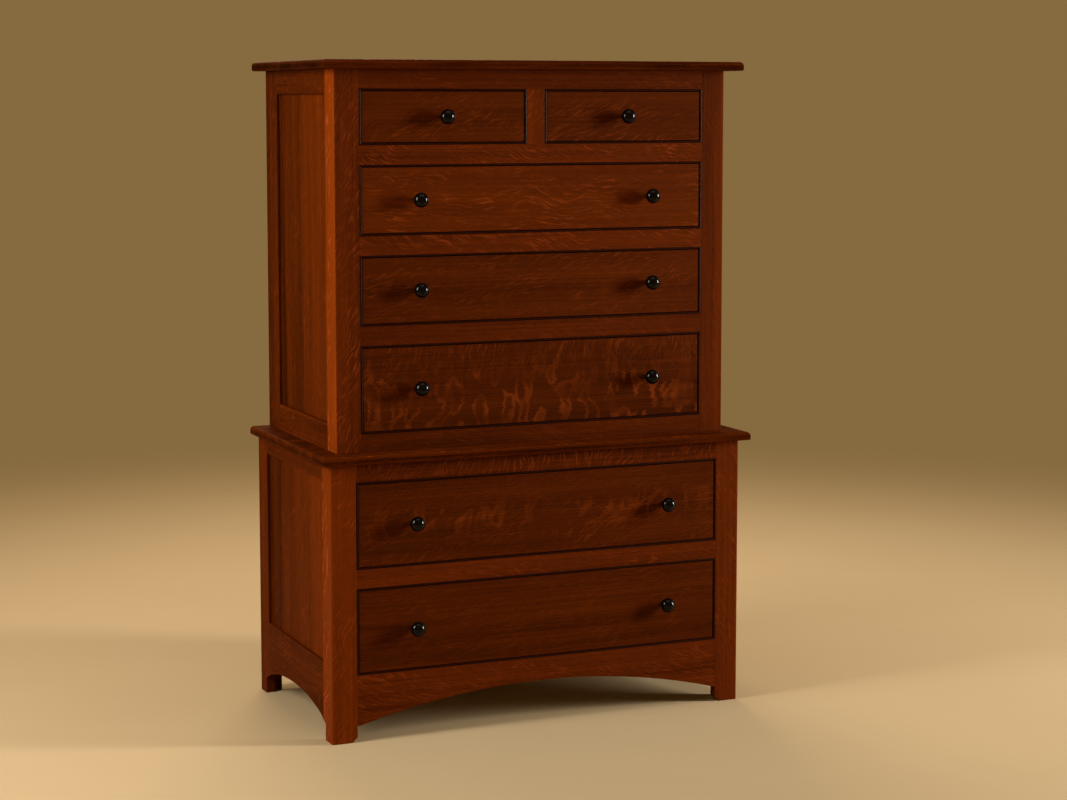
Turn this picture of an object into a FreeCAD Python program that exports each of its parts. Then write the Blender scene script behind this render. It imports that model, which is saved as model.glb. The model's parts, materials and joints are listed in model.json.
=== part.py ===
import FreeCAD, Part
import os
import re
import Sketcher

# A chest on chest in quarter-sawn oak: an upper case of five drawers stands on a lower case of two.
# Millimetres. +Z is up, the drawers face -Y and X runs across the front. The origin is on the floor,
# midway across the width and midway between the faces of the lower knobs and the back.

SIZES = {
    # Upper case
    "upper_width": 983,
    "upper_depth": 520,
    "upper_stile": 59,
    "upper_rail": 44,
    "upper_top_rail": 44,
    "upper_bottom_rail": 41,
    "mullion": 45,
    "upper_corner": 3,
    # Lower case
    "lower_width": 1040,
    "lower_depth": 558,
    "lower_stile": 61,
    "lower_rail": 43,
    "lower_top_rail": 42,
    "lower_corner": 6,
    "base_height": 155,
    "foot_chamfer": 12,
    # Heights of the drawer openings, from the top row down
    "row_1": 127,
    "row_2": 161,
    "row_3": 161,
    "row_4": 202,
    "row_5": 201,
    "row_6": 201,
    # The top board and the board at the waist, with a full round above and a small one below
    "top_thickness": 21,
    "top_overhang": 35,
    "waist_thickness": 20,
    "waist_overhang": 21,
    "edge_round": 9,
    "edge_ease": 4,
    # Frame joinery
    "face": 22,
    "tenon": 25,
    "stub_tenon": 12,
    "frame_tenon": 18,
    "tenon_thickness": 8,
    "tenon_shoulder": 6,
    # Frame-and-panel sides
    "side": 22,
    "upper_side_front": 43,
    "lower_side_front": 40,
    "upper_side_back": 88,
    "lower_side_back": 70,
    "upper_side_top": 56,
    "upper_side_bottom": 63,
    "lower_side_top": 40,
    "lower_panel_height": 181,
    "panel": 8,
    "panel_recess": 7,
    "groove": 8,
    "panel_play": 1,
    # Arches of the base: a shallow arc in front, and part of an ellipse between the feet of each side
    "apron_spring": 38,
    "apron_rise": 62,
    "apron_land": 6,
    "side_front_foot": 48,
    "side_back_foot": 44,
    "side_rail_low": 44,
    "side_arch_middle": 14,
    "side_arch_rise": 65,
    "side_arch_spread": 15,
    # Frame-and-panel backs
    "back": 20,
    "back_stile": 25,
    "back_rail": 60,
    "back_panel": 6,
    "back_panel_recess": 7,
    "lower_back_clear": 34,
    # Runners, web rails and stops that carry the drawers
    "ledge": 20,
    "guide_height": 22,
    "web": 40,
    "web_thickness": 22,
    "stop_length": 25,
    "stop_height": 15,
    # Black beads round the drawer openings
    "bead": 5,
    "bead_depth": 16,
    "bead_proud": 1,
    "bead_round": 2.2,
    # Drawers
    "front_setback": 1,
    "drawer_gap": 1.5,
    "runner_gap": 0.3,
    "stop_gap": 0.3,
    "drawer_front": 20,
    "drawer_side": 12,
    "drawer_back": 12,
    "side_drop": 3,
    "drawer_bottom": 6,
    "bottom_raise": 10,
    "bottom_groove": 6,
    "dovetail_lap": 6,
    "tail": 22,
    "tail_flare": 2.5,
    "tail_pitch": 37,
    # Turned knobs, glued in by a round tenon
    "knob_inset": 140,
    "knob_diameter": 35,
    "knob_length": 40,
    "knob_foot": 14,
    "knob_hollow": 10,
    "knob_rim": 20,
    "knob_rim_bulge": 4,
    "knob_crown": 5.8,
    "knob_tenon": 10,
    "knob_tenon_length": 14,
    "knob_fit": 0.1,
    # Screws that hold the upper case down on the waist board
    "screw": 5,
    "screw_head": 10,
    "screw_head_height": 3,
    "screw_length": 50,
    "screw_inset": 70,
    "screw_fit": 0.1,
}

# Places worked out from the sizes, in the order in which they build on each other
LAYOUT = {
    "back_y": "(lower_depth + knob_length - front_setback) / 2",
    "lower_front_y": "back_y - lower_depth",
    "upper_front_y": "back_y - upper_depth",
    "upper_half": "upper_width / 2",
    "lower_half": "lower_width / 2",
    "upper_open": "upper_half - upper_stile",
    "lower_open": "lower_half - lower_stile",
    "open_z_6": "base_height",
    "open_z_5": "open_z_6 + row_6 + lower_rail",
    "lower_top_z": "open_z_5 + row_5 + lower_top_rail",
    "waist_z": "lower_top_z + waist_thickness",
    "open_z_4": "waist_z + upper_bottom_rail",
    "open_z_3": "open_z_4 + row_4 + upper_rail",
    "open_z_2": "open_z_3 + row_3 + upper_rail",
    "open_z_1": "open_z_2 + row_2 + upper_rail",
    "upper_top_z": "open_z_1 + row_1 + upper_top_rail",
    "inside_back_y": "back_y - back",
    "web_front_y": "inside_back_y - web",
    "drawer_rear_y": "inside_back_y - stop_length - stop_gap",
}

# Rows of drawers from the top down, each with the height of the rail or ledge under it
ROW_RAILS = {"1": "upper_rail", "2": "upper_rail", "3": "upper_rail", "4": "upper_bottom_rail",
             "5": "lower_rail", "6": "lower_rail"}
UPPER_ROWS = ("1", "2", "3", "4")
LOWER_ROWS = ("5", "6")

Vector = FreeCAD.Vector
CLOSE = 1e-4

doc = FreeCAD.newDocument("chest_on_chest")
sheet = doc.addObject("Spreadsheet::Sheet", "Sizes")
for row_number, (alias, value) in enumerate(SIZES.items(), start=1):
    sheet.set(f"A{row_number}", alias)
    sheet.set(f"B{row_number}", str(value))
    sheet.setAlias(f"B{row_number}", alias)
doc.recompute()


def spelled(expression):
    """Spell an expression's plain names out as the sheet's cells and the layout's places."""
    def owner(match):
        word = match.group()
        if word in SIZES:
            return f"Sizes.{word}"
        if word in LAYOUT:
            return f"Layout.{word}"
        return word
    return re.sub(r"[A-Za-z_]\w*", owner, str(expression))


layout = doc.addObject("App::VarSet", "Layout")
for place, rule in LAYOUT.items():
    layout.addProperty("App::PropertyFloat", place)
    layout.setExpression(place, spelled(rule))
doc.recompute()

nodes = {}


def bind(piece, rules):
    """Tie properties of a piece to the sheet; rules maps each property to an expression."""
    for name, expression in rules.items():
        piece.setExpression(name, spelled(expression))
    return piece


def measure(expression):
    """The present value of an expression, for choosing edges and starting a sketch."""
    return float(sheet.evalExpression(spelled(expression)))


def block(name, x, y, z):
    """A square block between pairs of expressions along each axis."""
    piece = doc.addObject("Part::Box", name)
    for axis, size, (low, high) in zip("xyz", ("Length", "Width", "Height"), (x, y, z)):
        bind(piece, {f"Placement.Base.{axis}": low, size: f"({high}) - ({low})"})
    return piece


def gather(name, pieces):
    """Separate solids kept together as one compound."""
    compound = doc.addObject("Part::Compound", name)
    compound.Links = list(pieces)
    return compound


def join(name, pieces):
    """One solid out of several that touch."""
    union = doc.addObject("Part::MultiFuse", name)
    union.Shapes = list(pieces)
    return union


def cut(name, base, *tools):
    """Cut away each tool in turn; a tool may be a list of pieces that don't overlap."""
    for number, tool in enumerate(tools, start=1):
        step = name if number == len(tools) else f"{name}_cut_{number}"
        if isinstance(tool, list):
            tool = gather(f"{step}_tools", tool) if len(tool) > 1 else tool[0]
        result = doc.addObject("Part::Cut", step)
        result.Base = base
        result.Tool = tool
        base = result
    return base


def mirror(name, source):
    """The same piece on the other side of the chest."""
    copy = doc.addObject("Part::Mirroring", name)
    copy.Source = source
    copy.Normal = Vector(1, 0, 0)
    return copy


def edges_where(shape, chosen):
    """Numbers of the edges that pass the test."""
    return [number for number, edge in enumerate(shape.Edges, start=1) if chosen(edge)]


def same(first, second):
    """True where two measures agree."""
    return abs(first - second) < CLOSE


def rounded(name, base, rounds):
    """Round edges of a piece; rounds pairs a size with a test of its edges."""
    doc.recompute()
    fillet = doc.addObject("Part::Fillet", name)
    fillet.Base = base
    fillet.Edges = [(number, measure(radius), measure(radius)) for radius, chosen in rounds
                    for number in edges_where(base.Shape, chosen)]
    return fillet


def node(label, *pieces):
    """Name a finished sub-part; several solids of one kind share a compound."""
    piece = pieces[0] if len(pieces) == 1 else gather(f"{label}_group", pieces)
    piece.Label = label
    nodes[label] = piece
    return piece


def arc_through(start, end, radius):
    """The shorter arc between two points; a positive radius bulges to the right of the way."""
    chord = end - start
    middle = (start + end) / 2
    right = Vector(chord.y, -chord.x, 0).normalize()
    bulge = abs(radius) - (radius * radius - (chord.Length / 2) ** 2) ** 0.5
    return Part.Arc(start, middle + right * (bulge if radius > 0 else -bulge), end)


def outline(body, name, role, corners):
    """A closed sketch through corners of (x, y, radius of the arc to the next corner, or None).

    A sketch's constraints know its level axis as -1, its upright axis as -2 and a curve's ends as 1 and 2.
    """
    sketch = body.newObject("Sketcher::SketchObject", name)
    plane = next(item for item in body.Origin.OriginFeatures if item.Role == role)
    sketch.AttachmentSupport = [(plane, "")]
    sketch.MapMode = "FlatFace"
    points = [Vector(measure(x), measure(y), 0) for x, y, radius in corners]
    curve_ends = []
    for number, (x, y, radius) in enumerate(corners):
        start = points[number]
        end = points[(number + 1) % len(points)]
        curve = Part.LineSegment(start, end) if radius is None else arc_through(start, end, measure(radius))
        sketch.addGeometry(curve)
        curve_ends.append((1, 2) if (sketch.getPoint(number, 1) - start).Length < CLOSE else (2, 1))
    for number, (x, y, radius) in enumerate(corners):
        following = (number + 1) % len(corners)
        first_end, last_end = curve_ends[number]
        sketch.addConstraint(Sketcher.Constraint("Coincident", number, last_end, following,
                                                 curve_ends[following][0]))
        for kind, axis, expression in (("DistanceX", -2, x), ("DistanceY", -1, y)):
            if expression == "0":
                sketch.addConstraint(Sketcher.Constraint("PointOnObject", number, first_end, axis))
            else:
                place = Sketcher.Constraint(kind, number, first_end, measure(expression))
                place.Name = f"corner_{number}_{kind}"
                sketch.addConstraint(place)
                bind(sketch, {f"Constraints.{place.Name}": expression})
        if radius is not None:
            sweep = Sketcher.Constraint("Radius", number, abs(measure(radius)))
            sweep.Name = f"arc_{number}"
            sketch.addConstraint(sweep)
            bind(sketch, {f"Constraints.{sweep.Name}": f"abs({radius})"})
    return sketch


# Face frames: the two stiles and the rails of a case, tenoned together

UPPER = {"name": "upper", "half": "upper_half", "open": "upper_open", "front": "upper_front_y",
         "floor": "waist_z", "top": "upper_top_z", "side_front": "upper_side_front",
         "side_back": "upper_side_back"}
LOWER = {"name": "lower", "half": "lower_half", "open": "lower_open", "front": "lower_front_y",
         "floor": "0", "top": "lower_top_z", "side_front": "lower_side_front",
         "side_back": "lower_side_back"}


def face_depth(case):
    """From the front to the back of a face frame."""
    return case["front"], f"{case['front']} + face"


def tenon_depth(case):
    """The middle of a face frame's thickness, where its tenons are."""
    near = f"{case['front']} + (face - tenon_thickness) / 2"
    return near, f"{near} + tenon_thickness"


def rail_tenons(name, case, low, high):
    """The left and right tenons of a rail between two heights."""
    z = (f"{low} + tenon_shoulder", f"{high} - tenon_shoulder")
    reach = f"{case['open']} + tenon"
    left = block(f"{name}_left_tenon", (f"-({reach})", f"-{case['open']}"), tenon_depth(case), z)
    right = block(f"{name}_right_tenon", (case["open"], reach), tenon_depth(case), z)
    return [left, right]


def face_rail(name, case, low, high):
    """A rail with its tenons; returns the rail and the tenons that the stiles are mortised for."""
    board = block(f"{name}_board", (f"-{case['open']}", case["open"]), face_depth(case), (low, high))
    tenons = rail_tenons(name, case, low, high)
    return join(f"{name}_blank", [board] + tenons), tenons


def arched_apron():
    """The lower front rail, its bottom edge one long shallow arc between two short lands."""
    chord = "(lower_open - apron_land)"
    radius = f"({chord} ^ 2 + apron_rise ^ 2) / (2 * apron_rise)"
    body = doc.addObject("PartDesign::Body", "lower_apron_board")
    sketch = outline(body, "apron_outline", "XZ_Plane", [
        ("-lower_open", "apron_spring", None),
        (f"-{chord}", "apron_spring", f"-({radius})"),
        (chord, "apron_spring", None),
        ("lower_open", "apron_spring", None),
        ("lower_open", "base_height", None),
        ("-lower_open", "base_height", None),
    ])
    pad = body.newObject("PartDesign::Pad", "apron_pad")
    pad.Profile = sketch
    bind(pad, {"Length": "face"})
    bind(body, {"Placement.Base.y": "lower_front_y + face"})
    tenons = rail_tenons("lower_apron", LOWER, "apron_spring", "base_height")
    return join("lower_apron_rail", [body] + tenons), tenons


def stiles(case, tenons, corner):
    """Both stiles of a face frame, mortised for the rails, with the outer corner rounded."""
    board = block(f"{case['name']}_stile_board", (f"-{case['half']}", f"-{case['open']}"),
                  face_depth(case), (case["floor"], case["top"]))
    mortised = cut(f"{case['name']}_stile_mortised", board, tenons)
    outer, front = measure(f"-{case['half']}"), measure(case["front"])

    def is_corner(edge):
        middle = edge.CenterOfMass
        return same(middle.x, outer) and same(middle.y, front)

    left = rounded(f"{case['name']}_stile_rounded", mortised, [(corner, is_corner)])
    if case is LOWER:
        left = chamfered_foot(left)
    node(f"{case['name']}_left_stile", left)
    node(f"{case['name']}_right_stile", mirror(f"{case['name']}_stile_mirrored", left))


def chamfered_foot(stile):
    """Take the inner corner off the foot of a stile."""
    doc.recompute()
    inner = measure("-lower_open")
    size = measure("foot_chamfer")
    chamfer = doc.addObject("Part::Chamfer", "lower_stile_foot")
    chamfer.Base = stile
    chamfer.Edges = [(number, size, size) for number in edges_where(
        stile.Shape, lambda edge: same(edge.CenterOfMass.x, inner) and same(edge.CenterOfMass.z, 0))]
    return chamfer


def upper_face_frame():
    """Four rails under the rows of drawers, the top rail, the mullion and the stiles."""
    rails, left_tenons = {}, []
    for row in UPPER_ROWS:
        low = f"open_z_{row} - {ROW_RAILS[row]}"
        rails[row], tenons = face_rail(f"upper_rail_{row}", UPPER, low, f"open_z_{row}")
        left_tenons.append(tenons[0])
    top_rail, tenons = face_rail("upper_head_rail", UPPER, "open_z_1 + row_1", "upper_top_z")
    left_tenons.append(tenons[0])

    half = "mullion / 2"
    stub_half = "(mullion / 2 - tenon_shoulder)"
    low, high = "open_z_1", "open_z_1 + row_1"
    board = block("mullion_board", (f"-{half}", half), face_depth(UPPER), (low, high))
    foot = block("mullion_foot_tenon", (f"-{stub_half}", stub_half), tenon_depth(UPPER),
                 (f"{low} - stub_tenon", low))
    head = block("mullion_head_tenon", (f"-{stub_half}", stub_half), tenon_depth(UPPER),
                 (high, f"{high} + stub_tenon"))
    node("upper_mullion", join("mullion_post", [board, foot, head]))
    rails["1"] = cut("upper_rail_1_mortised", rails["1"], foot)
    node("upper_top_rail", cut("upper_head_rail_mortised", top_rail, head))
    node("upper_drawer_rails", *rails.values())
    stiles(UPPER, left_tenons, "upper_corner")


def lower_face_frame():
    """The arched apron, the rail between the drawers, the top rail and the stiles."""
    apron, apron_tenons = arched_apron()
    low = "open_z_5 - lower_rail"
    rail, rail_tenon_pair = face_rail("lower_middle_rail", LOWER, low, "open_z_5")
    head, head_tenons = face_rail("lower_head_rail", LOWER, "open_z_5 + row_5", "lower_top_z")
    node("lower_apron", apron)
    node("lower_drawer_rail", rail)
    node("lower_top_rail", head)
    stiles(LOWER, [apron_tenons[0], rail_tenon_pair[0], head_tenons[0]], "lower_corner")


# Frames with a loose panel: the sides and the backs of both cases

def framed_panel(name, plank, run, panel_thick, thick, stile_z, widths, bottom, top):
    """Two stiles, two rails and a panel in grooves; returns the four boards and the panel.

    plank makes a board from its spans along the run, through the thickness and in z. widths holds the
    widths of the stiles at the start and the end of the run; bottom and top are the rails' spans in z.
    """
    start, end = f"{run[0]} + {widths[0]}", f"{run[1]} - {widths[1]}"
    low, high = bottom[1], top[0]
    channel = plank(f"{name}_channel", (f"{start} - groove", f"{end} + groove"), panel_thick,
                    (f"{low} - groove", f"{high} + groove"))
    panel = plank(f"{name}_panel_board", (f"{start} - groove + panel_play", f"{end} + groove - panel_play"),
                  panel_thick, (f"{low} - groove + panel_play", f"{high} + groove - panel_play"))
    tenon_spans = {"bottom": (f"{bottom[0]} + tenon_shoulder", f"{low} - groove - tenon_shoulder"),
                   "top": (f"{high} + groove + tenon_shoulder", f"{top[1]} - tenon_shoulder")}
    near_tenons, far_tenons, rails = [], [], []
    for place, rail_z in (("bottom", bottom), ("top", top)):
        near = plank(f"{name}_{place}_near_tenon", (f"{start} - frame_tenon", start), panel_thick,
                     tenon_spans[place])
        far = plank(f"{name}_{place}_far_tenon", (end, f"{end} + frame_tenon"), panel_thick,
                    tenon_spans[place])
        board = plank(f"{name}_{place}_board", (start, end), thick, rail_z)
        whole = join(f"{name}_{place}_whole", [board, near, far])
        rails.append(cut(f"{name}_{place}_rail", whole, channel))
        near_tenons.append(near)
        far_tenons.append(far)
    near_stile = cut(f"{name}_near_stile", plank(f"{name}_near_board", (run[0], start), thick, stile_z),
                     [channel] + near_tenons)
    far_stile = cut(f"{name}_far_stile", plank(f"{name}_far_board", (end, run[1]), thick, stile_z),
                    [channel] + far_tenons)
    return [near_stile, far_stile] + rails, panel


def side_arch():
    """The opening between the feet of the lower side: as much of an ellipse as lies between them."""
    start = "(lower_front_y + side_front_foot)"
    end = "(back_y - side_back_foot)"
    curve = doc.addObject("Part::Ellipse", "side_arch_curve")
    upright = FreeCAD.Rotation(Vector(0, 1, 0), Vector(0, 0, 1), Vector(1, 0, 0), "XYZ")
    curve.Placement = FreeCAD.Placement(Vector(), upright)
    bind(curve, {"MajorRadius": f"({end} - {start}) / 2 + side_arch_spread", "MinorRadius": "side_arch_rise",
                 "Placement.Base.x": "-lower_half", "Placement.Base.y": f"({start} + {end}) / 2",
                 "Placement.Base.z": "side_arch_middle"})
    disc = doc.addObject("Part::Extrusion", "side_arch_disc")
    disc.Base = curve
    disc.DirMode = "Custom"
    disc.Dir = Vector(1, 0, 0)
    disc.Solid = True
    bind(disc, {"LengthFwd": "side"})
    opening = doc.addObject("Part::Common", "side_arch_opening")
    opening.Base = disc
    opening.Tool = block("side_arch_bounds", ("-lower_half", "side - lower_half"), (start, end),
                         ("0", "lower_panel_height"))
    return opening


def sides(case, bottom, top):
    """The framed side of a case at the left, and the same mirrored at the right."""
    name = f"{case['name']}_side"
    outer = f"-{case['half']}"
    recessed = f"{outer} + panel_recess"
    boards, panel = framed_panel(
        name, lambda label, run, thick, z: block(label, thick, run, z),
        run=(f"{case['front']} + face", "back_y"), panel_thick=(recessed, f"{recessed} + panel"),
        thick=(outer, f"{outer} + side"), stile_z=(case["floor"], case["top"]),
        widths=(case["side_front"], case["side_back"]), bottom=bottom, top=top)
    if case is LOWER:
        arch = side_arch()
        for number, board in enumerate(("front_stile", "back_stile", "bottom_rail")):
            boards[number] = cut(f"{name}_arched_{board}", boards[number], arch)
    frame = node(f"{case['name']}_left_side_frame", *boards)
    node(f"{case['name']}_left_side_panel", panel)
    node(f"{case['name']}_right_side_frame", mirror(f"{name}_frame_mirrored", frame))
    node(f"{case['name']}_right_side_panel", mirror(f"{name}_panel_mirrored", panel))


def back(case, bottom, top):
    """The framed back of a case, let in between its sides."""
    half = f"({case['half']} - side)"
    recessed = "inside_back_y + back_panel_recess"
    boards, panel = framed_panel(
        f"{case['name']}_back", block, run=(f"-{half}", half),
        panel_thick=(recessed, f"{recessed} + back_panel"), thick=("inside_back_y", "back_y"),
        stile_z=(case["floor"], case["top"]), widths=("back_stile", "back_stile"), bottom=bottom, top=top)
    node(f"{case['name']}_back_frame", *boards)
    node(f"{case['name']}_back_panel", panel)


# The top board, the waist board and the screws that join the cases

def moulded_board(name, case, thickness, overhang):
    """A board over a case, flush at the back, its three free edges rounded above and eased below."""
    half = f"({case['half']} + {overhang})"
    low = case["top"]
    board = block(f"{name}_board", (f"-{half}", half), (f"{case['front']} - {overhang}", "back_y"),
                  (low, f"{low} + {thickness}"))
    front_y = measure(f"{case['front']} - {overhang}")
    side_x = measure(half)

    def is_free(edge, height):
        middle = edge.CenterOfMass
        return same(middle.z, measure(height)) and (same(middle.y, front_y) or same(abs(middle.x), side_x))

    return rounded(f"{name}_moulded", board, [
        ("edge_round", lambda edge: is_free(edge, f"{low} + {thickness}")),
        ("edge_ease", lambda edge: is_free(edge, low))])


def screw_places():
    """Across and along places of the screws on the left, in the ledges of the lowest upper runners."""
    across = "-(upper_open - bead - ledge / 2)"
    return [(across, "upper_front_y + face + screw_inset"), (across, "web_front_y - screw_inset")]


def screw(name, x, y, clearance):
    """A countersunk screw, driven up through the waist board; clearance is zero for the screw itself."""
    head = doc.addObject("Part::Cone", f"{name}_head")
    shank = doc.addObject("Part::Cylinder", f"{name}_shank")
    bind(head, {"Radius1": f"screw_head / 2 + {clearance}", "Radius2": f"screw / 2 + {clearance}",
                "Height": "screw_head_height"})
    bind(shank, {"Radius": f"screw / 2 + {clearance}",
                 "Height": f"screw_length - screw_head_height + {clearance}"})
    for piece, z in ((head, "lower_top_z"), (shank, "lower_top_z + screw_head_height")):
        bind(piece, {"Placement.Base.x": x, "Placement.Base.y": y, "Placement.Base.z": z})
    return join(name, [head, shank])


def tops():
    """The moulded boards, the waist board bored for the screws; returns the bores on the left."""
    node("upper_top", moulded_board("upper_top", UPPER, "top_thickness", "top_overhang"))
    bores, mirrored_bores, screws = [], [], []
    for number, (x, y) in enumerate(screw_places(), start=1):
        bore = screw(f"screw_bore_{number}", x, y, "screw_fit")
        left = screw(f"case_screw_{number}", x, y, "0")
        bores.append(bore)
        mirrored_bores.append(mirror(f"screw_bore_{number}_mirrored", bore))
        screws += [left, mirror(f"case_screw_{number}_mirrored", left)]
    waist = moulded_board("waist_top", LOWER, "waist_thickness", "waist_overhang")
    node("waist_top", cut("waist_top_bored", waist, bores + mirrored_bores))
    node("case_screws", *screws)
    return bores


# What carries the drawers inside the cases

def runner(name, case, row, ledge_x, guide_x):
    """A ledge under the drawer's side, level with the bead, and the guide beside it."""
    y = (f"{case['front']} + face", "web_front_y")
    deck = f"open_z_{row} + bead"
    ledge = block(f"{name}_ledge", ledge_x, y, (f"open_z_{row} - {ROW_RAILS[row]}", deck))
    guide = block(f"{name}_guide", guide_x, y, (deck, f"{deck} + guide_height"))
    return join(name, [ledge, guide])


def inner_works(case, rows, bores):
    """The runners and kickers of a case in one group, its web rails with their stops in another."""
    name = case["name"]
    wall = f"({case['half']} - side)"
    guide_edge = f"({case['open']} - bead)"
    ledge_edge = f"({guide_edge} - ledge)"
    middle = "(mullion / 2 + bead)"
    middle_edge = f"({middle} + ledge)"
    carried, webs = [], []
    for row in rows:
        left = runner(f"{name}_runner_{row}", case, row, (f"-{wall}", f"-{ledge_edge}"),
                      (f"-{wall}", f"-{guide_edge}"))
        if row == UPPER_ROWS[-1]:
            left = cut(f"{name}_runner_{row}_bored", left, bores)
        carried += [left, mirror(f"{name}_runner_{row}_mirrored", left)]
        deck = f"open_z_{row} + bead"
        webs.append(block(f"{name}_web_{row}", (f"-{wall}", wall), ("web_front_y", "inside_back_y"),
                          (f"{deck} - web_thickness", deck)))
        stop_spans = [(f"-{guide_edge}", f"-{ledge_edge}")]
        if row == UPPER_ROWS[0]:
            carried.append(runner("upper_runner_middle", case, row, (f"-{middle_edge}", middle_edge),
                                  (f"-{middle}", middle)))
            stop_spans.append((f"-{middle_edge}", f"-{middle}"))
        for number, span in enumerate(stop_spans, start=1):
            stop = block(f"stop_{row}_{number}", span, ("inside_back_y - stop_length", "inside_back_y"),
                         (deck, f"{deck} + stop_height"))
            webs += [stop, mirror(f"stop_{row}_{number}_mirrored", stop)]

    kicker_y = (f"{case['front']} + face", "inside_back_y")
    kicker_z = (f"open_z_{rows[0]} + row_{rows[0]}", case["top"])
    left = block(f"{name}_kicker", (f"-{wall}", f"-{ledge_edge}"), kicker_y, kicker_z)
    carried += [left, mirror(f"{name}_kicker_mirrored", left)]
    if case is UPPER:
        carried.append(block("upper_kicker_middle", (f"-{middle_edge}", middle_edge), kicker_y, kicker_z))
    node(f"{name}_runners", *carried)
    node(f"{name}_web_rails", *webs)


# Black beads, mitred round each opening

def bead_strip(name, span, turn, base, nose):
    """One strip with its nose rounded on both edges; span is its longer edge, against the frame."""
    strip = doc.addObject("Part::Wedge", f"{name}_blank")
    strip.Placement = FreeCAD.Placement(Vector(), turn)
    bind(strip, {"Xmin": span[0], "Xmax": span[1], "X2min": f"{span[0]} + bead", "X2max": f"{span[1]} - bead",
                 "Ymin": "0", "Ymax": "bead", "Zmin": "0", "Zmax": "bead_depth", "Z2min": "0",
                 "Z2max": "bead_depth"})
    bind(strip, {f"Placement.Base.{axis}": place for axis, place in base.items()})
    nose_y = measure(nose)

    def runs_along_nose(edge):
        ends = [vertex.Point for vertex in edge.Vertexes]
        mitred = not same(ends[0].x, ends[1].x) and not same(ends[0].z, ends[1].z)
        return same(edge.CenterOfMass.y, nose_y) and not mitred

    return rounded(name, strip, [("bead_round", runs_along_nose)])


def bead_frame(name, case, left, right, low, high):
    """Four mitred strips lining an opening."""
    nose = f"{case['front']} - bead_proud"
    heel = f"{nose} + bead_depth"
    x, y, z = Vector(1, 0, 0), Vector(0, 1, 0), Vector(0, 0, 1)
    turned = FreeCAD.Rotation
    return [
        bead_strip(f"{name}_bottom", (left, right), turned(x, z, -y, "XYZ"), {"y": heel, "z": low}, nose),
        bead_strip(f"{name}_top", (left, right), turned(x, -z, y, "XYZ"), {"y": nose, "z": high}, nose),
        bead_strip(f"{name}_left", (low, high), turned(z, x, y, "XYZ"), {"y": nose, "x": left}, nose),
        bead_strip(f"{name}_right", (low, high), turned(z, -x, -y, "XYZ"), {"y": heel, "x": right}, nose),
    ]


# Drawers

def dovetails(name, x, wide_y, narrow_y, side_z):
    """Tails along one end of a drawer side, widest at the end of the board and about a pitch apart."""
    low, high = side_z
    count = max(2, round(measure(f"({high} - ({low})) / tail_pitch")))
    wide_first = measure(wide_y) < measure(narrow_y)
    near, far = (wide_y, narrow_y) if wide_first else (narrow_y, wide_y)
    tails = []
    for number in range(count):
        middle = f"({low} + (({high}) - ({low})) * {2 * number + 1} / {2 * count})"
        wide = (f"{middle} - tail / 2", f"{middle} + tail / 2")
        narrow = (f"{middle} - tail / 2 + tail_flare", f"{middle} + tail / 2 - tail_flare")
        first, second = (wide, narrow) if wide_first else (narrow, wide)
        tail = doc.addObject("Part::Wedge", f"{name}_tail_{number + 1}")
        bind(tail, {"Xmin": x[0], "X2min": x[0], "Xmax": x[1], "X2max": x[1], "Ymin": near, "Ymax": far,
                    "Zmin": first[0], "Zmax": first[1], "Z2min": second[0], "Z2max": second[1]})
        tails.append(tail)
    return tails


def knob(name, x, y, z):
    """A turned knob, nearly a ball on a slim neck, with the round tenon that it is glued in by."""
    body = doc.addObject("PartDesign::Body", name)
    shoulder = "knob_diameter / 2 - knob_rim_bulge"
    neck = "knob_length - knob_crown - knob_rim"
    profile = outline(body, f"{name}_profile", "XY_Plane", [
        ("0", "knob_tenon_length", None),
        ("knob_tenon / 2", "knob_tenon_length", None),
        ("knob_tenon / 2", "0", None),
        ("knob_foot / 2", "0", "knob_hollow"),
        (shoulder, f"-({neck})", "-((knob_rim / 2) ^ 2 + knob_rim_bulge ^ 2) / (2 * knob_rim_bulge)"),
        (shoulder, "-(knob_length - knob_crown)", f"-(({shoulder}) ^ 2 + knob_crown ^ 2) / (2 * knob_crown)"),
        ("0", "-knob_length", None),
    ])
    turned = body.newObject("PartDesign::Revolution", f"{name}_turned")
    turned.Profile = profile
    turned.ReferenceAxis = (profile, ["V_Axis"])
    turned.Angle = 360
    bind(body, {"Placement.Base.x": x, "Placement.Base.y": y, "Placement.Base.z": z})
    return body


def knob_hole(name, x, y, z):
    """The hole in a drawer front for a knob's tenon."""
    hole = doc.addObject("Part::Cylinder", name)
    inward = FreeCAD.Rotation(Vector(1, 0, 0), Vector(0, 0, -1), Vector(0, 1, 0), "XYZ")
    hole.Placement = FreeCAD.Placement(Vector(), inward)
    bind(hole, {"Radius": "knob_tenon / 2 + knob_fit", "Height": "knob_tenon_length + knob_fit",
                "Placement.Base.x": x, "Placement.Base.y": y, "Placement.Base.z": z})
    return hole


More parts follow.
